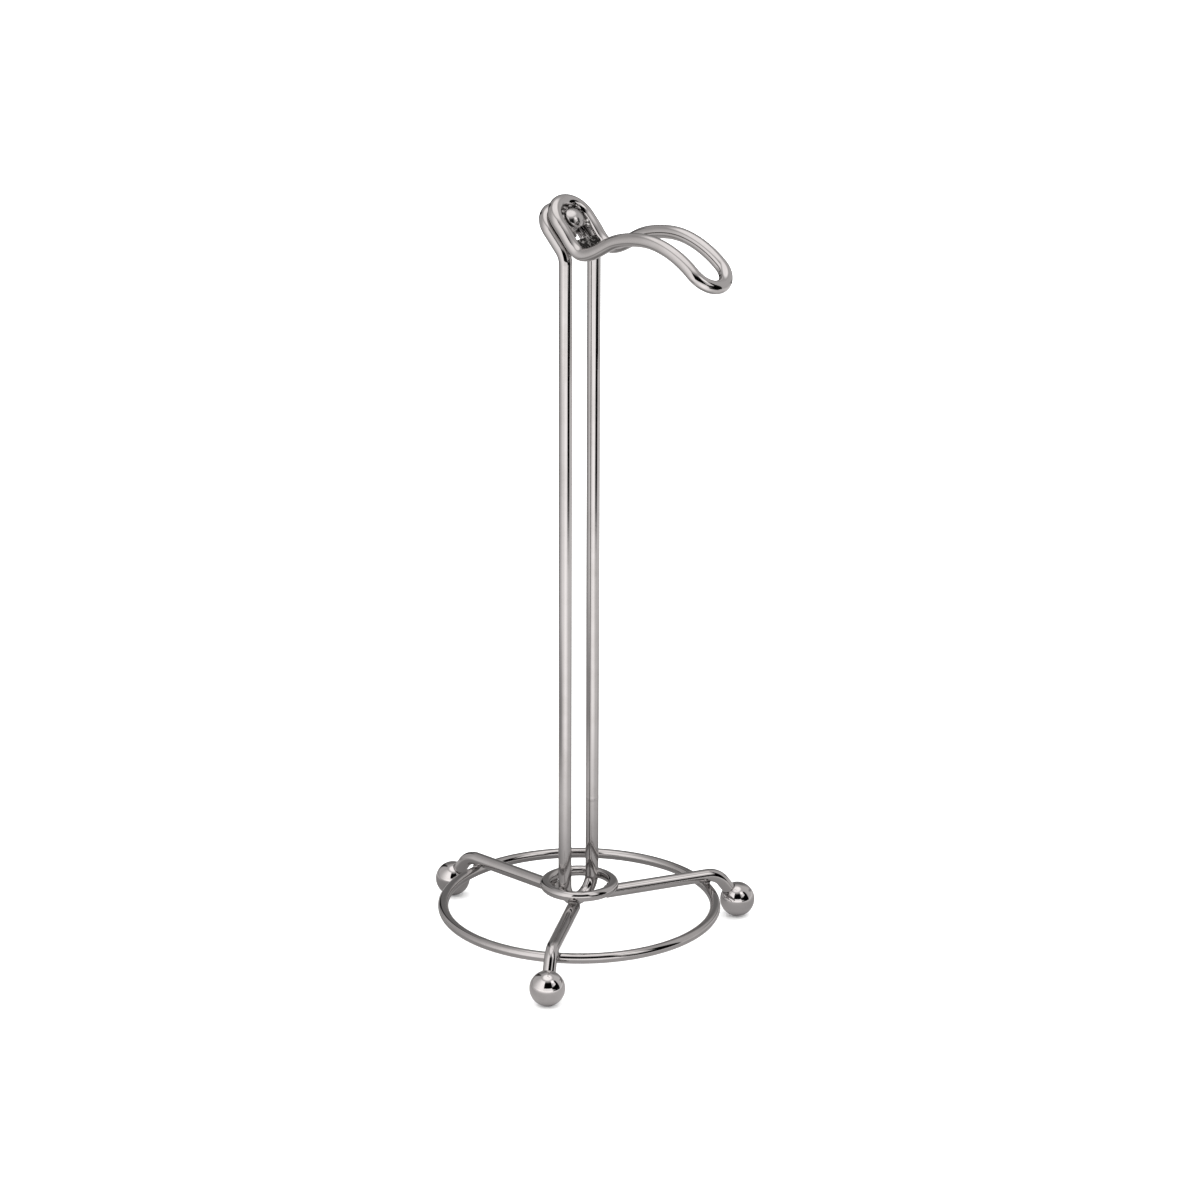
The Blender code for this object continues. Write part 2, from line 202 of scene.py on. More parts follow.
def weld_metal(name, base=(0.50, 0.485, 0.48), rough=0.20, bump_mm=0.045, soot=0.42):
    """Plated-over weld: lumpy, duller, with soot in the hollows."""
    k = Nodes(name)
    coord = k.new("ShaderNodeTexCoord")
    lump = k.new("ShaderNodeTexNoise")
    lump.inputs["Scale"].default_value = 700.0
    lump.inputs["Detail"].default_value = 4.0
    lump.inputs["Roughness"].default_value = 0.7
    k.link(coord.outputs["Object"], lump.inputs["Vector"])
    cells = k.new("ShaderNodeTexVoronoi")
    cells.inputs["Scale"].default_value = 1100.0
    k.link(coord.outputs["Object"], cells.inputs["Vector"])
    h = k.math("ADD", lump.outputs["Fac"], k.math("MULTIPLY", cells.outputs["Distance"], 0.5))
    bump = k.new("ShaderNodeBump")
    bump.inputs["Strength"].default_value = 1.0
    bump.inputs["Distance"].default_value = bump_mm / 1000
    k.link(h, bump.inputs["Height"])
    k.link(bump.outputs["Normal"], k.bsdf.inputs["Normal"])
    mix = k.new("ShaderNodeMix")
    mix.data_type = "RGBA"
    mix.inputs["A"].default_value = (base[0] * soot, base[1] * soot, base[2] * soot * 0.98, 1.0)
    mix.inputs["B"].default_value = (*base, 1.0)
    k.link(k.ramp(lump.outputs["Fac"], 0.40, 0.60, 0.0, 1.0), mix.inputs["Factor"])
    k.link(mix.outputs["Result"], k.bsdf.inputs["Base Color"])
    k.link(k.ramp(lump.outputs["Fac"], 0.35, 0.7, rough + 0.2, rough), k.bsdf.inputs["Roughness"])
    k.bsdf.inputs["Metallic"].default_value = 1.0
    return k.mat


def shade_painted_metal(name):
    """Lumpy weld plate: near black as painted shade of the crevices round the eye, with bare metal showing in patches.
    """
    k = Nodes(name)
    coord = k.new("ShaderNodeTexCoord")
    lump = k.new("ShaderNodeTexNoise")
    lump.inputs["Scale"].default_value = 650.0
    lump.inputs["Detail"].default_value = 5.0
    lump.inputs["Roughness"].default_value = 0.62
    k.link(coord.outputs["Object"], lump.inputs["Vector"])
    fine = k.new("ShaderNodeTexNoise")
    fine.inputs["Scale"].default_value = 3200.0
    fine.inputs["Detail"].default_value = 3.0
    k.link(coord.outputs["Object"], fine.inputs["Vector"])
    bare = k.ramp(lump.outputs["Fac"], 0.52, 0.66, 0.0, 1.0)
    # painted shade: the near-black base stands in for the shade in the crevices; the bare patches are metal
    mix = k.new("ShaderNodeMix")
    mix.data_type = "RGBA"
    mix.inputs["A"].default_value = (0.020, 0.019, 0.018, 1.0)
    mix.inputs["B"].default_value = (0.46, 0.45, 0.44, 1.0)
    k.link(bare, mix.inputs["Factor"])
    k.link(mix.outputs["Result"], k.bsdf.inputs["Base Color"])
    h = k.math("ADD", lump.outputs["Fac"], k.math("MULTIPLY", fine.outputs["Fac"], 0.2))
    bump = k.new("ShaderNodeBump")
    bump.inputs["Strength"].default_value = 1.0
    bump.inputs["Distance"].default_value = 0.00022
    k.link(h, bump.inputs["Height"])
    k.link(bump.outputs["Normal"], k.bsdf.inputs["Normal"])
    k.link(k.ramp(bare, 0.0, 1.0, 0.42, 0.16), k.bsdf.inputs["Roughness"])
    k.bsdf.inputs["Metallic"].default_value = 1.0
    return k.mat


def zinc(name, base=(0.50, 0.50, 0.51)):
    """Bright zinc plate with turning marks."""
    k = Nodes(name)
    coord = k.new("ShaderNodeTexCoord")
    wave = k.new("ShaderNodeTexWave")
    wave.wave_type = "RINGS"
    wave.rings_direction = "Z"
    wave.inputs["Scale"].default_value = 1400.0
    wave.inputs["Distortion"].default_value = 1.5
    k.link(coord.outputs["Object"], wave.inputs["Vector"])
    mottle = k.new("ShaderNodeTexNoise")
    mottle.inputs["Scale"].default_value = 700.0
    mottle.inputs["Detail"].default_value = 4.0
    k.link(coord.outputs["Object"], mottle.inputs["Vector"])
    h = k.math("ADD", k.math("MULTIPLY", wave.outputs["Fac"], 0.3), mottle.outputs["Fac"])
    bump = k.new("ShaderNodeBump")
    bump.inputs["Strength"].default_value = 0.6
    bump.inputs["Distance"].default_value = 0.000012
    k.link(h, bump.inputs["Height"])
    k.link(bump.outputs["Normal"], k.bsdf.inputs["Normal"])
    mix = k.new("ShaderNodeMix")
    mix.data_type = "RGBA"
    mix.inputs["A"].default_value = (*base, 1.0)
    mix.inputs["B"].default_value = (base[0] * 0.8, base[1] * 0.79, base[2] * 0.76, 1.0)
    k.link(k.ramp(mottle.outputs["Fac"], 0.35, 0.7, 0.0, 1.0), mix.inputs["Factor"])
    k.link(mix.outputs["Result"], k.bsdf.inputs["Base Color"])
    k.link(k.ramp(mottle.outputs["Fac"], 0.3, 0.7, 0.16, 0.34), k.bsdf.inputs["Roughness"])
    k.bsdf.inputs["Metallic"].default_value = 1.0
    return k.mat


# painted shade: the wire chrome's base is about 0.82 of the balls' chrome, a shaded copy of the same plating
CHROME_WIRE = chrome("chrome_wire", base=(0.487, 0.475, 0.471))
CHROME_BALL = chrome("chrome_ball", wire=False, rough=0.03, streak=0.25)
CHROME_HEAD = chrome("chrome_head", wire=False, base=(0.50, 0.49, 0.485), rough=0.15, streak=0.8)
# painted shade: the plates' chrome base is darker than the wire and balls, for the shade in the gap between head and
# loop
CHROME_PLATE = chrome("chrome_plate", wire=False, base=(0.40, 0.39, 0.385), rough=0.14, streak=1.2)
WELD = weld_metal("weld_plated")
# painted highlight: a lighter copy of the weld metal for beads that catch the light by the screw head; its lower
# roughness is a glossier finish
WELD_PAINTED_HIGHLIGHT = weld_metal("weld_painted_highlight", base=(0.70, 0.69, 0.68), rough=0.10, bump_mm=0.05)
# painted shade: near-black plate metal for the brace and the welds in the crevices round the eye
SHADE_PAINTED_PLATE = shade_painted_metal("shade_painted_plate")
ZINC = zinc("zinc_plate")

# ----------------------------------------------------------------- wire meshes
def make_object(name, verts, faces, mat, body, node=None, smooth=True):
    mesh = bpy.data.meshes.new(name)
    mesh.from_pydata([tuple(v) for v in verts], [], faces)
    mesh.validate()
    if smooth:
        mesh.shade_smooth()
    obj = link(bpy.data.objects.new(name, mesh))
    mesh.materials.append(mat)
    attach(obj, body)
    if node:
        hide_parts(*([node] if isinstance(node, str) else node))
    return obj


def sweep(name, path, radius, closed, mat, body, node, sides=44, radius_at=None, round_ends=0.0):
    """Tube along a path. Frames are carried along by parallel transport, and each
    vertex keeps (across, across, along) in the attribute wire_co."""
    p = np.array(path, dtype=float)
    n = len(p)
    if closed:
        t = np.roll(p, -1, axis=0) - np.roll(p, 1, axis=0)
    else:
        t = np.gradient(p, axis=0)
    t /= np.linalg.norm(t, axis=1)[:, None]
    seg = np.linalg.norm(np.diff(p, axis=0), axis=1)
    s = np.concatenate(([0.0], np.cumsum(seg)))
    u = np.zeros((n, 3))
    start = np.array([0.0, 0.0, 1.0]) if abs(t[0][2]) < 0.9 else np.array([1.0, 0.0, 0.0])
    u[0] = start - t[0] * start.dot(t[0])
    u[0] /= np.linalg.norm(u[0])
    for i in range(1, n):
        v = u[i - 1] - t[i] * u[i - 1].dot(t[i])
        u[i] = v / np.linalg.norm(v)
    twist = np.zeros(n)
    if closed:
        v = u[-1] - t[0] * u[-1].dot(t[0])
        v /= np.linalg.norm(v)
        w0 = np.cross(t[0], u[0])
        total = s[-1] + np.linalg.norm(p[0] - p[-1])
        err = atan2(v.dot(w0), v.dot(u[0]))
        twist = -err * s / total
    rings, rr = [], []
    rows = [(p[i], t[i], u[i], twist[i], s[i], 1.0) for i in range(n)]
    if not closed and round_ends > 0:
        # softened wire ends: a few shrinking rings, then a flat cap
        def cap(i, sign):
            out = []
            for k in range(1, 6):
                a = pi / 2 * k / 5
                out.append((p[i] + sign * t[i] * round_ends * sin(a), t[i], u[i], twist[i],
                            s[i] + sign * round_ends * sin(a), 1 - (round_ends / radius) * (1 - cos(a))))
            return out
        rows = list(reversed(cap(0, -1))) + rows + cap(n - 1, 1)
    verts, co = [], []
    for q, tt, uu, tw, ss, f in rows:
        w = np.cross(tt, uu)
        r = radius * f * (radius_at(ss) if radius_at else 1.0)
        for j in range(sides):
            a = 2 * pi * j / sides + tw
            d = uu * cos(a) + w * sin(a)
            verts.append(q + d * r)
            co.append((r * cos(a), r * sin(a), ss))
    m = len(rows)
    faces = []
    for i in range(m if closed else m - 1):
        a, b = i * sides, ((i + 1) % m) * sides
        for j in range(sides):
            k = (j + 1) % sides
            faces.append((a + j, a + k, b + k, b + j))
    if not closed:
        faces.append(tuple(reversed(range(sides))))
        faces.append(tuple(range((m - 1) * sides, m * sides)))
    obj = make_object(name, verts, faces, mat, body, node)
    att = obj.data.attributes.new("wire_co", "FLOAT_VECTOR", "POINT")
    att.data.foreach_set("vector", np.array(co, dtype=np.float32).ravel())
    if not closed:
        obj.data.set_sharp_from_angle(angle=radians(60))
    return obj


def butt_weld(at, width=0.0011, rise=0.012, cut=0.010):
    """Radius factor of a ground-down butt weld: a low bead with a hairline in it."""
    def f(s):
        d = (s - at) / width
        line = (s - at) / 0.00012
        return 1 + rise * exp(-d * d * 2) - cut * exp(-line * line)
    return f


def around(points, lo, hi, fine):
    """Adds finer stations between lo and hi."""
    keep = [s for s in points if s < lo or s > hi]
    return sorted(keep + list(np.arange(lo, hi, fine)))


class Path2:
    """Exact line-and-arc profile in the X-Z plane, read by arc length."""

    def __init__(self, x, z, heading):
        self.x, self.z, self.h = x, z, heading
        self.parts, self.length = [], 0.0

    def line(self, length):
        self.parts.append(("L", self.length, length, self.x, self.z, self.h, 0.0))
        self.x += cos(self.h) * length
        self.z += sin(self.h) * length
        self.length += length
        return self

    def arc(self, radius, turn):
        k = (1 if turn > 0 else -1) / radius
        length = radius * abs(turn)
        self.parts.append(("A", self.length, length, self.x, self.z, self.h, k))
        h1 = self.h + turn
        self.x += (sin(h1) - sin(self.h)) / k
        self.z += -(cos(h1) - cos(self.h)) / k
        self.h = h1
        self.length += length
        return self

    def at(self, s):
        for kind, s0, length, x, z, h, k in self.parts:
            if s <= s0 + length + 1e-12:
                d = s - s0
                if kind == "L":
                    return x + cos(h) * d, z + sin(h) * d
                return x + (sin(h + k * d) - sin(h)) / k, z - (cos(h + k * d) - cos(h)) / k
        kind, s0, length, x, z, h, k = self.parts[-1]
        d = s - s0
        return x + cos(h) * d, z + sin(h) * d


class SplinePath:
    """Natural cubic spline through (x, z) points, read by arc length."""

    def __init__(self, points):
        p = np.array(points, dtype=float)
        t = np.concatenate(([0.0], np.cumsum(np.linalg.norm(np.diff(p, axis=0), axis=1))))
        n = len(t)
        h = np.diff(t)
        a = np.zeros((n, n))
        b = np.zeros((n, 2))
        a[0, 0] = a[-1, -1] = 1.0
        for i in range(1, n - 1):
            a[i, i - 1], a[i, i], a[i, i + 1] = h[i - 1], 2 * (h[i - 1] + h[i]), h[i]
            b[i] = 6 * ((p[i + 1] - p[i]) / h[i] - (p[i] - p[i - 1]) / h[i - 1])
        self.p, self.t, self.h, self.m = p, t, h, np.linalg.solve(a, b)
        self.tt = np.linspace(0.0, t[-1], 12001)
        q = np.array([self.at_t(v) for v in self.tt])
        self.ss = np.concatenate(([0.0], np.cumsum(np.linalg.norm(np.diff(q, axis=0), axis=1))))
        self.length = float(self.ss[-1])

    def at_t(self, v):
        i = min(int(np.searchsorted(self.t, v, side="right")) - 1, len(self.t) - 2)
        i = max(i, 0)
        u, w, h = v - self.t[i], self.t[i + 1] - v, self.h[i]
        return (self.m[i] * w ** 3 + self.m[i + 1] * u ** 3) / (6 * h) \
            + (self.p[i] / h - self.m[i] * h / 6) * w + (self.p[i + 1] / h - self.m[i + 1] * h / 6) * u

    def at(self, s):
        q = self.at_t(float(np.interp(s, self.ss, self.tt)))
        return float(q[0]), float(q[1])


def loop_path(profile, half, step, end_steps=44, fine=()):
    """Closed loop with two parallel runs and two round ends on a bent profile.
    Returns the points and the arc length at each point."""
    flat = []
    for i in range(end_steps + 1):
        a = pi / 2 * i / end_steps
        flat.append((half - half * cos(a), half * sin(a)))
    run = list(np.linspace(half, profile.length - half, int((profile.length - 2 * half) / step) + 1))
    for lo, hi, d in fine:
        run = around(run, lo, hi, d)
    for s in run:
        if half * 1.01 < s < profile.length - half * 1.01:
            flat.append((s, half))
    for i in range(end_steps + 1):
        a = pi / 2 * i / end_steps
        flat.append((profile.length - half + half * sin(a), half * cos(a)))
    near = [(s, -y) for s, y in flat]
    far = [(s, y) for s, y in reversed(flat[1:-1])]
    out = []
    for s, y in near + far:
        x, z = profile.at(s)
        out.append((BASE_X + x, y, z))
    return out


def arc_length_near(path, target):
    """Arc length along a closed path at the point nearest to target."""
    p = np.array(path)
    s = np.concatenate(([0.0], np.cumsum(np.linalg.norm(np.diff(p, axis=0), axis=1))))
    return float(s[int(np.argmin(np.linalg.norm(p - np.array(target), axis=1)))])

# ------------------------------------------------------------------------ post
t_bend = POST_BEND_RADIUS * tan(TILT / 2)
up_run = POST_BEND_Z - t_bend - POST_LOW_Z
POST = Path2(POST_X, POST_LOW_Z, pi / 2).line(up_run).arc(POST_BEND_RADIUS, TILT).line(POST_TOP_LEN - t_bend)
SEAM_Z = 0.0655
seam_s = SEAM_Z - POST_LOW_Z
post_pts = loop_path(POST, POST_HALF, 0.0022, fine=((seam_s - 0.002, seam_s + 0.002, 0.00006),
                                                     (up_run - 0.001, up_run + POST_BEND_RADIUS * TILT + 0.001, 0.0003)))
weld_at = arc_length_near(post_pts, (BASE_X + POST_X, POST_HALF, SEAM_Z))
sweep("post_loop_wire", post_pts, WIRE_R, True, CHROME_WIRE, "stand", "post_loop", radius_at=butt_weld(weld_at))

# ------------------------------------------------------------------------ hook
ALONG = (-sin(TILT), cos(TILT))
NORMAL = (cos(TILT), sin(TILT))
eye_end = (EYE_FOOT[0] + ALONG[0] * EYE_LEN, EYE_FOOT[1] + ALONG[1] * EYE_LEN)
eye_pts = [(eye_end[0] + (EYE_FOOT[0] - eye_end[0]) * i / 3,
            eye_end[1] + (EYE_FOOT[1] - eye_end[1]) * i / 3) for i in range(4)]
HOOK = SplinePath(eye_pts + list(HOOK_ARM))
hook_pts = loop_path(HOOK, HOOK_HALF, 0.0005)
sweep("hook_loop_wire", hook_pts, WIRE_R, True, CHROME_WIRE, "hook", "hook_loop")

# ----------------------------------------------------------------------- rings
def ring_wire(name, radius, z, wire_r, count, node, weld_angle):
    pts = []
    for i in range(count):
        a = 2 * pi * i / count
        pts.append((BASE_X + radius * cos(a), radius * sin(a), z))
    at = radius * weld_angle
    return sweep(name, pts, wire_r, True, CHROME_WIRE, "stand", node,
                 radius_at=butt_weld(at, 0.0016, 0.010, 0.0))


ring_wire("base_ring_wire", RING_R, RING_Z, RING_WIRE_R, 420, "base_ring", radians(200))
ring_wire("hub_ring_wire", HUB_R, HUB_Z, RING_WIRE_R, 200, "hub_ring", radians(150))

# -------------------------------------------------------------- legs and feet
LEG_ANGLES = (("rear", 180.0), ("front_left", 60.0), ("front_right", -60.0))


def leg_curve():
    a = Vector((LEG_IN_R, LEG_IN_Z))
    b = Vector((LEG_BEND_R, LEG_BEND_Z))
    c = Vector((FOOT_R, BALL_Z))
    into = (c - b).normalized()
    end = c - into * (BALL_R - SOCKET_DEPTH + GAP)
    u = (a - b).normalized()
    turn = u.angle(into)
    t = LEG_BEND_RADIUS / tan(turn / 2)
    bis = (u + into).normalized()
    center = b + bis * (LEG_BEND_RADIUS / sin(turn / 2))
    p0, p1 = b + u * t, b + into * t
    a0, a1 = atan2(p0.y - center.y, p0.x - center.x), atan2(p1.y - center.y, p1.x - center.x)
    pts = []
    for i in range(30):
        pts.append(a + (p0 - a) * (i / 30))
    for i in range(41):
        g = a0 + (a1 - a0) * i / 40
        pts.append(Vector((center.x + LEG_BEND_RADIUS * cos(g), center.y + LEG_BEND_RADIUS * sin(g))))
    for i in range(1, 9):
        pts.append(p1 + (end - p1) * (i / 8))
    return pts, into


LEG_PTS, LEG_INTO = leg_curve()
for side, angle in LEG_ANGLES:
    c, s = cos(radians(angle)), sin(radians(angle))
    pts = [(BASE_X + q.x * c, q.x * s, q.y) for q in LEG_PTS]
    sweep("leg_%s_wire" % side, pts, WIRE_R, False, CHROME_WIRE, "stand", "leg_" + side, round_ends=0.0004)


def turned(name, profile, matrix, segments, mat, body, node, angle=40):
    """Closed body of revolution about local Z from an (r, z) outline, outside top to bottom."""
    verts, faces, rows = [], [], []
    for r, z in profile:
        if r < 1e-9:
            rows.append([len(verts)])
            verts.append(matrix @ Vector((0.0, 0.0, z)))
        else:
            rows.append(list(range(len(verts), len(verts) + segments)))
            for i in range(segments):
                a = 2 * pi * i / segments
                verts.append(matrix @ Vector((r * cos(a), r * sin(a), z)))
    pairs = list(zip(rows, rows[1:]))
    if profile[0][0] > 1e-9:
        pairs.append((rows[-1], rows[0]))
    for up, low in pairs:
        for i in range(segments):
            j = (i + 1) % segments
            if len(up) == 1:
                faces.append((up[0], low[i], low[j]))
            elif len(low) == 1:
                faces.append((up[i], low[0], up[j]))
            else:
                faces.append((up[i], low[i], low[j], up[j]))
    obj = make_object(name, verts, faces, mat, body, node)
    obj.data.set_sharp_from_angle(angle=radians(angle))
    return obj


def ball_foot(name, angle):
    """Turned ball: a small crater round the leg, the sphere, and the worn flat it stands on."""
    c, s = cos(radians(angle)), sin(radians(angle))
    center = Vector((BASE_X + FOOT_R * c, FOOT_R * s, BALL_Z))
    into = Vector((LEG_INTO.x * c, LEG_INTO.x * s, LEG_INTO.y))
    m = Matrix.Translation(center) @ (-into).to_track_quat("Z", "Y").to_matrix().to_4x4()
    mouth = WIRE_R + 0.00004
    lip = 0.00035
    a0 = asin((mouth + lip) / BALL_R)
    prof = []
    # socket wall from its floor up to the lip, then over the lip onto the sphere
    z_lip = BALL_R * cos(a0)
    prof.append((0.0, BALL_R - SOCKET_DEPTH))
    prof.append((mouth, BALL_R - SOCKET_DEPTH))
    prof.append((mouth, z_lip - lip * 1.2))
    for i in range(6):
        g = pi - (pi / 2) * i / 5
        prof.append((mouth + lip + lip * cos(g), z_lip - lip * 0.55 + lip * 0.6 * sin(g)))
    steps = 56
    for i in range(1, steps):
        g = a0 + (pi - a0) * i / steps
        prof.append((BALL_R * sin(g), BALL_R * cos(g)))
    prof.append((0.0, -BALL_R))
    obj = turned(name, prof, m, 80, CHROME_BALL, "stand", "ball_foot_" + angle_name(angle), angle=50)
    for v in obj.data.vertices:
        if v.co.z < 0.0:
            v.co.z = 0.0
    return obj


def angle_name(angle):
    return dict((a, n) for n, a in LEG_ANGLES)[angle]


for side, angle in LEG_ANGLES:
    ball_foot("ball_foot_%s_turned" % side, angle)

# ----------------------------------------------------------------- weld lumps
def lump(name, center, size, axes, seed, mat, body, slot, rough=0.16, freq=1.9, cuts=4):
    """Weld metal: an ellipsoid roughened by noise."""
    import bmesh
    bm = bmesh.new()
    bmesh.ops.create_icosphere(bm, subdivisions=cuts, radius=1.0)
    rot = Matrix(axes).transposed() if axes else Matrix.Identity(3)
    off = Vector((seed * 3.7, seed * 1.3, seed * 2.1))
    for v in bm.verts:
        d = v.co.normalized()
        k = 1 + rough * noise.noise(d * freq + off) + rough * 0.5 * noise.noise(d * freq * 2.6 + off)
        q = Vector((d.x * size[0], d.y * size[1], d.z * size[2])) * k
        v.co = Vector(center) + rot @ q
    mesh = bpy.data.meshes.new(name)
    bm.to_mesh(mesh)
    bm.free()
    mesh.shade_smooth()
    mesh.materials.append(mat)
    obj = link(bpy.data.objects.new(name, mesh))
    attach(obj, body)
    return obj


seed = 1
for side, angle in LEG_ANGLES:
    c, s = cos(radians(angle)), sin(radians(angle))
    radial, across = (c, s, 0.0), (-s, c, 0.0)
    slope = (LEG_BEND_Z - LEG_IN_Z) / (LEG_BEND_R - LEG_IN_R)
    # leg under the hub ring
    z = (LEG_IN_Z + slope * (HUB_R - LEG_IN_R) + WIRE_R + HUB_Z - RING_WIRE_R) / 2
    lump("weld_hub_" + side, (BASE_X + HUB_R * c, HUB_R * s, z), (0.0021, 0.0023, 0.00075),
         (radial, across, (0, 0, 1)), seed, WELD, "stand", "hub_ring")
    seed += 1
    # leg over the base ring
    z = (LEG_IN_Z + slope * (RING_R - LEG_IN_R) - WIRE_R + RING_Z + RING_WIRE_R) / 2
    lump("weld_ring_" + side, (BASE_X + RING_R * c, RING_R * s, z), (0.0019, 0.0023, 0.00070),
         (radial, across, (0, 0, 1)), seed, WELD, "stand", "base_ring")
    seed += 1
for sign, name in ((1, "left"), (-1, "right")):
    y = sign * (POST_HALF + WIRE_R + HUB_R - RING_WIRE_R) / 2
    lump("weld_post_" + name, (BASE_X + POST_X, y, HUB_Z + 0.0002), (0.0019, 0.0009, 0.0017),
         None, seed, WELD, "stand", "hub_ring", rough=0.22)
    seed += 1

# --------------------------------------------------------- pivot joint pieces
def frame_at(x, z):
    return Matrix(((ALONG[0], 0.0, NORMAL[0], BASE_X + x),
                   (0.0, -1.0, 0.0, 0.0),
                   (ALONG[1], 0.0, NORMAL[1], z),
                   (0.0, 0.0, 0.0, 1.0)))


eye_center = (eye_end[0] - ALONG[0] * HOOK_HALF, eye_end[1] - ALONG[1] * HOOK_HALF)
screw_xz = (eye_center[0] + ALONG[0] * SCREW_UP, eye_center[1] + ALONG[1] * SCREW_UP)
SCREW = frame_at(*screw_xz)
PLANES = (EYE_FOOT[0] - POST_X) * NORMAL[0] + (EYE_FOOT[1] - POST_BEND_Z) * NORMAL[1]


def plate_with_hole(name, outline, hole_r, z_mid, thick, matrix, mat, body, node, edge=0.00022):
    """Plate from an outline given as distance by angle, with rolled edges and a hole."""
    n = len(outline)
    rows = []
    for inset, z in ((edge, -thick / 2), (edge * 0.3, -thick / 2 + edge * 0.3), (0.0, -thick / 2 + edge),
                     (0.0, thick / 2 - edge), (edge * 0.3, thick / 2 - edge * 0.3), (edge, thick / 2)):
        rows.append([((r - inset) * cos(2 * pi * i / n), (r - inset) * sin(2 * pi * i / n), z_mid + z)
                     for i, r in enumerate(outline)])
    for r, z in ((hole_r + edge, thick / 2), (hole_r, thick / 2 - edge), (hole_r, -thick / 2 + edge), (hole_r + edge, -thick / 2)):
        rows.append([(r * cos(2 * pi * i / n), r * sin(2 * pi * i / n), z_mid + z) for i in range(n)])
    verts = [matrix @ Vector(v) for row in rows for v in row]
    faces = []
    m = len(rows)
    for k in range(m):
        a, b = k * n, ((k + 1) % m) * n
        for i in range(n):
            j = (i + 1) % n
            faces.append((a + i, a + j, b + j, b + i))
    obj = make_object(name, verts, faces, mat, body, node)
    obj.data.set_sharp_from_angle(angle=radians(50))
    return obj


def eye_outline(half, shift, low, n=144):
    r0 = half - WIRE_R - GAP
    out = []
    for i in range(n):
        a = 2 * pi * i / n
        dx, dy = cos(a), sin(a)
        best = None
        if dx < -1e-9:
            best = low / -dx
        if abs(dy) > 1e-9:
            side = r0 / abs(dy)
            if side * dx < shift:
                best = side if best is None else min(best, side)
        b = -shift * dx
        hit = -b + sqrt(b * b - (shift ** 2 - r0 * r0))
        if best is None or (hit * dx >= shift and hit < best):
            best = hit
        out.append(best)
    return out


plate_with_hole("hook_plate_sheet", eye_outline(HOOK_HALF, -SCREW_UP, PLATE_LOW), CLEAR_R, 0.0, PLATE_T,
                SCREW, CHROME_PLATE, "hook", "hook_plate")
post_end = (POST_X + ALONG[0] * POST_TOP_LEN, POST_BEND_Z + ALONG[1] * POST_TOP_LEN)
post_center = (post_end[0] - ALONG[0] * POST_HALF, post_end[1] - ALONG[1] * POST_HALF)
post_shift = (post_center[0] - screw_xz[0]) * ALONG[0] + (post_center[1] - screw_xz[1]) * ALONG[1]
plate_with_hole("post_plate_sheet", eye_outline(POST_HALF, post_shift, PLATE_LOW), CLEAR_R, -PLANES, PLATE_T,
                SCREW, CHROME_PLATE, "stand", "post_plate")

# dome-headed screw with a cut thread
head_z = PLATE_T / 2 + GAP
rim = 0.0006
dome_h = HEAD_H - rim
dome_r = (HEAD_R ** 2 + dome_h ** 2) / (2 * dome_h)
rim_angle = asin(HEAD_R / dome_r)
prof = [(0.0, head_z + HEAD_H)]
for i in range(1, 25):
    a = rim_angle * i / 25
    prof.append((dome_r * sin(a), head_z + HEAD_H - dome_r * (1 - cos(a))))
for i in range(1, 7):
    g = pi / 2 * i / 6
    prof.append((HEAD_R - 0.00004 * (1 - sin(g)), head_z + rim - (rim - 0.00015) * i / 6))
prof.append((HEAD_R - 0.00015, head_z))
prof.append((SHANK_R, head_z))
pitch = 0.0008
z = head_z - 0.0015
prof.append((SHANK_R, z))
screw_end = head_z - SCREW_LEN
seg = 72
verts, faces, rows = [], [], []


def add_row(fn):
    rows.append(list(range(len(verts), len(verts) + seg)))
    for i in range(seg):
        a = 2 * pi * i / seg
        r, zz = fn(a)
        verts.append(SCREW @ Vector((r * cos(a), r * sin(a), zz)))


verts.append(SCREW @ Vector((0, 0, prof[0][1])))
for r, zz in prof[1:]:
    add_row(lambda a, r=r, zz=zz: (r, zz))
steps = int((z - screw_end) / (pitch / 10))
for k in range(1, steps):
    zz = z + (screw_end - z) * k / steps

    def thread(a, zz=zz):
        phase = (zz / pitch - a / (2 * pi)) % 1.0
        depth = 0.00030 * (1 - abs(2 * phase - 1))
        fade = min(1.0, max(0.0, (z - zz) / 0.0008))
        taper = max(0.0, 1 - max(0.0, (zz - screw_end)) / 0.0006)
        return SHANK_R - depth * fade - 0.0005 * taper, zz
    add_row(thread)
add_row(lambda a: (SHANK_R - 0.0007, screw_end))
tip = len(verts)
verts.append(SCREW @ Vector((0, 0, screw_end)))
for i in range(seg):
    j = (i + 1) % seg
    faces.append((0, rows[0][i], rows[0][j]))
    faces.append((rows[-1][i], tip, rows[-1][j]))
for up, low in zip(rows, rows[1:]):
    for i in range(seg):
        j = (i + 1) % seg
        faces.append((up[i], low[i], low[j], up[j]))
screw = make_object("pivot_screw_body", verts, faces, CHROME_HEAD, "stand", "pivot_screw")
screw.data.set_sharp_from_angle(angle=radians(35))

spacer_top = -PLATE_T / 2 - GAP
spacer_len = PLANES - PLATE_T - 2 * GAP
e = 0.0003
turned("pivot_spacer_sleeve", [
    (SPACER_R - e, spacer_top), (SPACER_R, spacer_top - e), (SPACER_R, spacer_top - spacer_len + e),
    (SPACER_R - e, spacer_top - spacer_len), (CLEAR_R + e / 2, spacer_top - spacer_len),
    (CLEAR_R, spacer_top - spacer_len + e / 2), (CLEAR_R, spacer_top - e / 2), (CLEAR_R + e / 2, spacer_top)],
    SCREW, 72, ZINC, "stand", "pivot_spacer", angle=25)

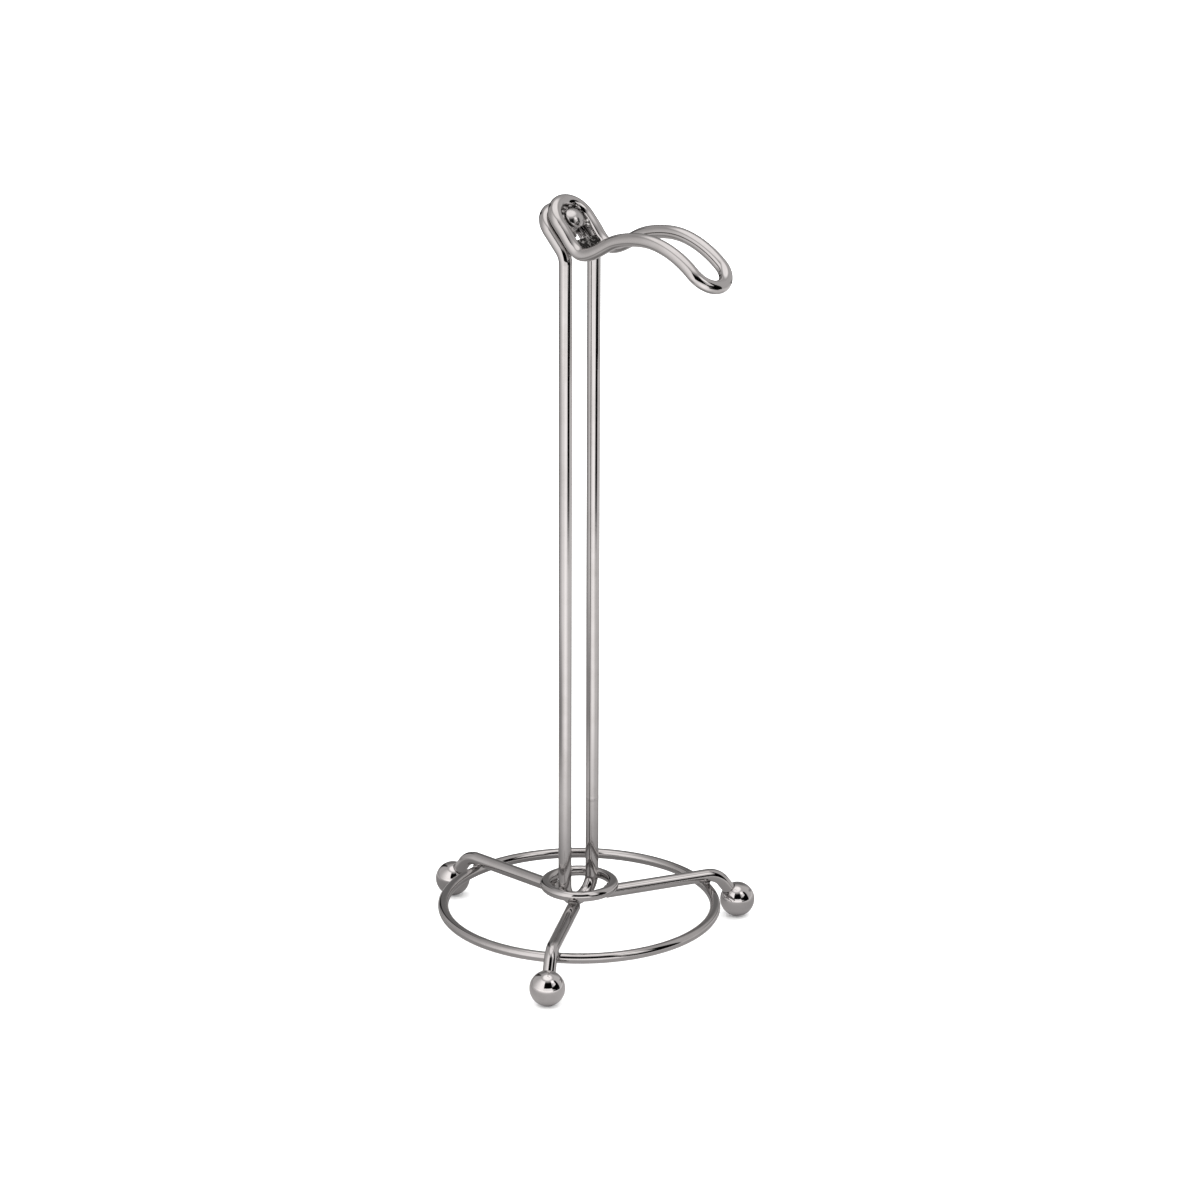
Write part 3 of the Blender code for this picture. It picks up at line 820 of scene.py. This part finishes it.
# split lock washer
lock_top = -PLANES - PLATE_T / 2 - GAP
n = 80
gap_angle = radians(14)
section = []
e = 0.00015
for r, zz in ((CLEAR_R + e, 0), (LOCK_R - e, 0), (LOCK_R, -e), (LOCK_R, -LOCK_T + e), (LOCK_R - e, -LOCK_T),
              (CLEAR_R + e, -LOCK_T), (CLEAR_R, -LOCK_T + e), (CLEAR_R, -e)):
    section.append((r, lock_top + zz))
verts, faces = [], []
for i in range(n + 1):
    a = gap_angle / 2 + (2 * pi - gap_angle) * i / n
    for r, zz in section:
        verts.append(SCREW @ Vector((r * cos(a), r * sin(a), zz)))
m = len(section)
for i in range(n):
    for k in range(m):
        a, b = i * m + k, i * m + (k + 1) % m
        faces.append((a, b, b + m, a + m))
faces += [tuple(reversed(range(m))), tuple(range(n * m, (n + 1) * m))]
lock = make_object("lock_washer_ring", verts, faces, ZINC, "stand", "lock_washer")
lock.data.set_sharp_from_angle(angle=radians(30))

# hexagon nut, chamfered on both faces
nut_top = lock_top - LOCK_T - GAP
n = 96
rows_z = [(0.0, 0), (0.00012, 1), (0.0004, 1), (NUT_T / 2, 1), (NUT_T - 0.0004, 1), (NUT_T - 0.00012, 1), (NUT_T, 0)]
levels = sorted(set([0.0, NUT_T] + [NUT_T * i / 24 for i in range(25)] + [0.0001, 0.0002, 0.0003, 0.0005, NUT_T - 0.0001, NUT_T - 0.0002, NUT_T - 0.0003, NUT_T - 0.0005]))
verts, faces = [], []
rings = []
cone = NUT_FLAT / 2 * 0.985
for zz in levels:
    ring_ids = []
    d = min(zz, NUT_T - zz)
    for i in range(n):
        a = 2 * pi * i / n
        off = (a % (pi / 3)) - pi / 6
        r = min(NUT_FLAT / 2 / cos(off), cone + d * 1.75)
        ring_ids.append(len(verts))
        verts.append(SCREW @ Vector((r * cos(a), r * sin(a), nut_top - zz)))
    rings.append(ring_ids)
inner = SHANK_R + 0.00005
for r, zz in ((inner + 0.0003, NUT_T), (inner, NUT_T - 0.0003), (inner, 0.0003), (inner + 0.0003, 0.0)):
    ring_ids = []
    for i in range(n):
        a = 2 * pi * i / n
        ring_ids.append(len(verts))
        verts.append(SCREW @ Vector((r * cos(a), r * sin(a), nut_top - zz)))
    rings.append(ring_ids)
for k in range(len(rings)):
    up, low = rings[k], rings[(k + 1) % len(rings)]
    for i in range(n):
        j = (i + 1) % n
        faces.append((up[i], low[i], low[j], up[j]))
nut = make_object("pivot_nut_hex", verts, faces, ZINC, "stand", "pivot_nut")
nut.data.set_sharp_from_angle(angle=radians(24))

# cross plate at the foot of the hook's eye: rough sheet with weld at both wires
brace_half = HOOK_HALF - WIRE_R - GAP
mid = -BRACE_DOWN - BRACE_LEN / 2
BRACE = frame_at(EYE_FOOT[0] + ALONG[0] * mid + NORMAL[0] * 0.0004, EYE_FOOT[1] + ALONG[1] * mid + NORMAL[1] * 0.0004)
nx, ny = 40, 60
verts, faces = [], []
e = 0.0002


def brace_pt(i, j, sign):
    x = -BRACE_LEN / 2 + BRACE_LEN * i / nx
    y = -brace_half + 2 * brace_half * j / ny
    border = min(i, nx - i, j, ny - j)
    drop = e if border == 0 else (e * 0.3 if border == 1 else 0.0)
    wob = 0.00007 * noise.noise(Vector((x * 900, y * 900, sign * 5.0)))
    return BRACE @ Vector((x, y, sign * (BRACE_T / 2 - drop) + (wob if border > 1 else 0.0)))


for sign in (1, -1):
    for i in range(nx + 1):
        for j in range(ny + 1):
            verts.append(brace_pt(i, j, sign))
top = lambda i, j: i * (ny + 1) + j
bot = lambda i, j: (nx + 1) * (ny + 1) + i * (ny + 1) + j
for i in range(nx):
    for j in range(ny):
        faces.append((top(i, j), top(i, j + 1), top(i + 1, j + 1), top(i + 1, j)))
        faces.append((bot(i, j), bot(i + 1, j), bot(i + 1, j + 1), bot(i, j + 1)))
for i in range(nx):
    faces.append((top(i, 0), top(i + 1, 0), bot(i + 1, 0), bot(i, 0)))
    faces.append((top(i + 1, ny), top(i, ny), bot(i, ny), bot(i + 1, ny)))
for j in range(ny):
    faces.append((top(0, j + 1), top(0, j), bot(0, j), bot(0, j + 1)))
    faces.append((top(nx, j), top(nx, j + 1), bot(nx, j + 1), bot(nx, j)))
# painted shade: the brace is near black to stand in for the shade behind the eye's wires
brace = make_object("hook_brace_sheet", verts, faces, SHADE_PAINTED_PLATE, "hook", "hook_brace")
brace.data.set_sharp_from_angle(angle=radians(60))

A3 = (ALONG[0], 0.0, ALONG[1])
Y3 = (0.0, -1.0, 0.0)
N3 = (NORMAL[0], 0.0, NORMAL[1])


def eye_lump(name, up, side, out, size, mat, body, slot, base=None, rough=0.2):
    global seed
    bx, bz = base if base else screw_xz
    c = (BASE_X + bx + ALONG[0] * up + NORMAL[0] * out, -side, bz + ALONG[1] * up + NORMAL[1] * out)
    lump(name, c, size, (A3, Y3, N3), seed, mat, body, slot, rough=rough)
    seed += 1


edge = HOOK_HALF - WIRE_R
# beads between the eye's wire and its plate, round the top of the eye; the two at the upper right are near black,
# painted shade of the crevice by the screw head over real weld spatter
for i, (deg, rr, size, mat) in enumerate((
        (-74, 0.0062, (0.0014, 0.0006, 0.0006), WELD),
        (-47, 0.0061, (0.0010, 0.0008, 0.0008), WELD),
        (-19, 0.0060, (0.0008, 0.0010, 0.0008), WELD),
        (16, 0.0061, (0.0007, 0.0011, 0.0009), WELD),
        (44, 0.0063, (0.0006, 0.0009, 0.0007), SHADE_PAINTED_PLATE),
        (72, 0.0063, (0.0015, 0.0005, 0.0007), SHADE_PAINTED_PLATE))):
    g = radians(deg)
    eye_lump("weld_eye_%d" % i, rr * cos(g), -rr * sin(g), 0.0009, size, mat, "hook", "hook_plate", rough=0.25)
# the next two beads carry a painted highlight in their lighter metal
eye_lump("weld_plate_far", -0.0032, -edge + 0.0003, 0.0011, (0.0010, 0.0009, 0.0009), WELD_PAINTED_HIGHLIGHT, "hook", "hook_plate")
eye_lump("weld_plate_low", -0.0047, -edge + 0.0009, 0.0007, (0.0010, 0.0010, 0.0007), WELD_PAINTED_HIGHLIGHT, "hook", "hook_plate")
eye_lump("weld_plate_near", -0.0062, edge - 0.0006, 0.0012, (0.0026, 0.0010, 0.0010), WELD, "hook", "hook_plate")
# painted shade: the brace's welds are near black like the brace
eye_lump("weld_brace_near", mid, edge - 0.0001, 0.0004, (0.0020, 0.0008, 0.0009), SHADE_PAINTED_PLATE, "hook", "hook_brace", base=EYE_FOOT)
eye_lump("weld_brace_far", mid, -edge + 0.0001, 0.0004, (0.0020, 0.0008, 0.0009), SHADE_PAINTED_PLATE, "hook", "hook_brace", base=EYE_FOOT)

# -------------------------------------------------------------- camera
CAM_AZ, CAM_EL, CAM_ROLL = radians(40.134), radians(19.013), radians(0.2209)
back = Vector((sin(CAM_AZ) * cos(CAM_EL), -cos(CAM_AZ) * cos(CAM_EL), sin(CAM_EL)))
right = Vector((cos(CAM_AZ), sin(CAM_AZ), 0.0))
up = back.cross(right)
target = right * 0.008968 + Vector((BASE_X, 0.0, 0.163048))
x_axis = right * cos(CAM_ROLL) + up * sin(CAM_ROLL)
y_axis = -right * sin(CAM_ROLL) + up * cos(CAM_ROLL)
cam_data = bpy.data.cameras.new("camera")
cam = link(bpy.data.objects.new("camera", cam_data))
loc = target + back * 2.035888
cam.matrix_world = Matrix(((x_axis.x, y_axis.x, back.x, loc.x), (x_axis.y, y_axis.y, back.y, loc.y),
                           (x_axis.z, y_axis.z, back.z, loc.z), (0, 0, 0, 1)))
cam_data.sensor_width = 36.0
cam_data.lens = 36.0 * 4557.536 / 1200.0
cam_data.clip_end = 100.0
scene.camera = cam

# -------------------------------------------------------------- studio
scene.view_settings.view_transform = "Standard"
scene.view_settings.look = "None"
scene.view_settings.exposure = 0.0
scene.view_settings.gamma = 1.0

world = bpy.data.worlds.new("studio")
scene.world = world
world.use_nodes = True
world.node_tree.nodes["Background"].inputs["Color"].default_value = (1.0, 1.0, 1.0, 1.0)
world.node_tree.nodes["Background"].inputs["Strength"].default_value = 2.1

k = Nodes("sweep")
k.bsdf.inputs["Base Color"].default_value = (0.94, 0.94, 0.94, 1.0)
k.bsdf.inputs["Roughness"].default_value = 0.9
k.bsdf.inputs["Specular IOR Level"].default_value = 0.0
grain = k.new("ShaderNodeTexNoise")
grain.inputs["Scale"].default_value = 40.0
coord = k.new("ShaderNodeTexCoord")
k.link(coord.outputs["Object"], grain.inputs["Vector"])
gmix = k.new("ShaderNodeMix")
gmix.data_type = "RGBA"
gmix.inputs["A"].default_value = (0.94, 0.94, 0.94, 1.0)
gmix.inputs["B"].default_value = (0.93, 0.93, 0.93, 1.0)
k.link(grain.outputs["Fac"], gmix.inputs["Factor"])
k.link(gmix.outputs["Result"], k.bsdf.inputs["Base Color"])
SWEEP = k.mat

mesh = bpy.data.meshes.new("floor")
R = 14.0
mesh.from_pydata([(-R, -R, 0), (R, -R, 0), (R, R, 0), (-R, R, 0)], [], [(0, 1, 2, 3)])
mesh.materials.append(SWEEP)
floor = link(bpy.data.objects.new("floor", mesh))
floor.visible_glossy = False

# The soft boxes, cards and flags of the studio, seen only in the chrome.
CHROME_F = 0.60


def tone(v):
    """Emission that chrome shows as display tone v, 0 to 255."""
    return ((max(v, 0.0) / 255.0) ** 2.2) / CHROME_F


def smooth(x, a, b):
    t = min(1.0, max(0.0, (x - a) / (b - a)))
    return t * t * (3 - 2 * t)


def window(x, lo, hi, soft_lo, soft_hi=None):
    soft_hi = soft_lo if soft_hi is None else soft_hi
    return smooth(x, lo - soft_lo / 2, lo + soft_lo / 2) * (1 - smooth(x, hi - soft_hi / 2, hi + soft_hi / 2))


def mix(a, b, t):
    return a + (b - a) * t


def lobe(x, left, right):
    return exp(-(x / (left if x < 0 else right)) ** 2)


def wall_tone(th, el):
    """Tone of the tent wall at azimuth th (right of the camera) and elevation el, degrees."""
    v = 165.0
    # left soft box, brightest near the camera side, fading to the back
    box = 158.0 + 83.0 * smooth(th, -112, -38)
    v = mix(v, box, window(th, -152, -21, 24, 6) * window(el, 2, 60, 6, 8))
    # foot of the left wall, falling off faster
    foot = max(112.0, 237.0 - 1.6 * max(0.0, -44.0 - th))
    v = mix(v, foot, window(th, -160, -21, 20, 6) * (1 - smooth(el, 1.5, 8)))
    # back of the tent
    v -= 62 * smooth(abs(th), 128, 160) * (1 - smooth(el, 34, 60))
    # dark gaps at the tent's back corners
    v -= 90 * window(th - el * 0.48, -162, -151, 7) * window(el, 4, 50, 8)
    v -= 45 * window(th + el * 1.2, 140, 152, 8) * window(el, 0, 22, 6)
    # right wall
    v += 6 * window(th, 85, 150, 20)
    # white card in front, under the opening
    v = mix(v, 227.0, window(th, -24, 34, 10) * window(el, -8, 20, 6, 3))
    # the band between wall and ceiling, then the white ceiling
    v -= 8 * window(el, 56, 64, 6)
    v += 78 * smooth(el, 61, 74)
    # lamp at the upper right
    v += 95 * window(th, 38, 66, 8) * window(el, 46, 61, 6)
    # its light spills down between the opening and the flap
    v += 50 * window(th, 45, 66, 5) * window(el, 26, 47, 4)
    # opening that the camera looks through
    hole = window(th, -21, 33, 3) * window(el, 18.5, 54, 2.5, 15)
    # flap hanging open on its right
    low = max(-1.0, 11.8 - 0.36 * (th - 32))
    top = 22.6 + 0.30 * (th - 34)
    hole = max(hole, window(th, 30, 84, 3) * window(el, low, top, 3))
    hole = max(hole, window(th, 66, 84, 3) * window(el, 0, 50, 4))
    # unlit room beyond the table's front right edge
    hole = max(hole, window(th, 35, 72, 6, 14) * (1 - smooth(el, 2.5, 5.0)))
    # the lowest part of the walls is washed by the sweep
    v *= 1 + 0.09 * (1 - smooth(el, 2.5, 7))
    return mix(v, 10.0, min(hole, 1.0))


def floor_tone(th, r):
    """Tone of the sweep at azimuth th and distance r from the base's axis, metres."""
    under = 139 + 22 * cos(radians(th - 20))
    near = 150 + 52 * lobe(th - 5, 60, 46) + 14 * window(th, 60, 100, 25)
    mid = 150 + 80 * lobe(th - 7, 50, 46) - 32 * window(th, -115, -58, 30) + 18 * window(th, 62, 104, 24)
    far = 178 + 60 * lobe(th - 8, 45, 30) + 14 * window(th, -62, -34, 16) \
        - 1.1 * min(50.0, max(0.0, -72 - th)) - 40 * smooth(th, 130, 175)
    v = mix(under, near, smooth(r, 0.09, 0.19))
    v = mix(v, mid, smooth(r, 0.19, 0.29))
    v = mix(v, far, smooth(r, 0.30, 0.52))
    v *= 1 + 0.09 * smooth(r, 0.10, 0.19)
    # the table's front right edge, dark beyond it
    return mix(v, 12.0, window(th, 35, 72, 7, 16) * smooth(r, 0.52, 0.74))


TENT_R = 0.95


def emission_material(name):
    m = bpy.data.materials.new(name)
    m.use_nodes = True
    t = m.node_tree
    for nd in list(t.nodes):
        t.nodes.remove(nd)
    out = t.nodes.new("ShaderNodeOutputMaterial")
    em = t.nodes.new("ShaderNodeEmission")
    at = t.nodes.new("ShaderNodeAttribute")
    at.attribute_name = "tone"
    t.links.new(at.outputs["Color"], em.inputs["Color"])
    t.links.new(em.outputs[0], out.inputs[0])
    return m


def card(name, verts, faces, tones):
    mesh = bpy.data.meshes.new(name)
    mesh.from_pydata(verts, [], faces)
    att = mesh.attributes.new("tone", "FLOAT_COLOR", "POINT")
    col = []
    for v in tones:
        e = tone(v)
        col += [e * 1.022, e * 0.991, e * 0.987, 1.0]
    att.data.foreach_set("color", col)
    mesh.materials.append(emission_material(name))
    obj = link(bpy.data.objects.new(name, mesh))
    obj.visible_camera = False
    obj.visible_diffuse = False
    obj.visible_transmission = False
    obj.visible_volume_scatter = False
    obj.visible_shadow = False
    return obj


def polar(th, r, z):
    """World point at azimuth th degrees right of the camera, distance r, height z."""
    a = CAM_AZ + radians(th)
    return (BASE_X + sin(a) * r, -cos(a) * r, z)


NA = 360
verts, faces, tones = [], [], []
els = list(np.linspace(-1.0, 90.0, 122))
for i, e in enumerate(els):
    for j in range(NA):
        th = -180 + 360 * j / NA
        verts.append(polar(th, TENT_R * cos(radians(e)), TENT_R * sin(radians(e))))
        tones.append(wall_tone(th, e))
for i in range(len(els) - 1):
    for j in range(NA):
        b = (j + 1) % NA
        faces.append((i * NA + j, i * NA + b, (i + 1) * NA + b, (i + 1) * NA + j))
card("tent", verts, faces, tones)

verts, faces, tones = [], [], []
radii = [0.0005] + list(np.linspace(0.02, 0.96, 95))
for i, r in enumerate(radii):
    for j in range(NA):
        th = -180 + 360 * j / NA
        verts.append(polar(th, r, -0.0004))
        tones.append(floor_tone(th, r))
for i in range(len(radii) - 1):
    for j in range(NA):
        b = (j + 1) % NA
        faces.append((i * NA + j, i * NA + b, (i + 1) * NA + b, (i + 1) * NA + j))
card("sweep_card", verts, faces, tones)

# each ball shades the sweep close round the point it stands on
shade_rings = [0.0001, 0.0006, 0.0012, 0.0018, 0.0024, 0.0030, 0.0037, 0.0045, 0.0055, 0.0068, 0.0082]
for where in ("rear", "front_left", "front_right"):
    b_lo, b_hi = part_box("ball_foot_" + where)
    cx, cy = (b_lo[0] + b_hi[0]) / 2, (b_lo[1] + b_hi[1]) / 2
    verts, faces, tones = [], [], []
    for i, d in enumerate(shade_rings):
        for j in range(48):
            a = 2 * pi * j / 48
            x, y = cx + d * cos(a), cy + d * sin(a)
            verts.append((x, y, -0.0002))
            r = sqrt((x - BASE_X) ** 2 + y * y)
            th = degrees(atan2(x - BASE_X, -y) - CAM_AZ)
            th = (th + 180) % 360 - 180
            tones.append(floor_tone(th, r) * (1 - 0.65 * exp(-(d / 0.0042) ** 2)))
    for i in range(len(shade_rings) - 1):
        for j in range(48):
            b = (j + 1) % 48
            faces.append((i * 48 + j, i * 48 + b, (i + 1) * 48 + b, (i + 1) * 48 + j))
    card("contact_shade_" + where, verts, faces, tones)
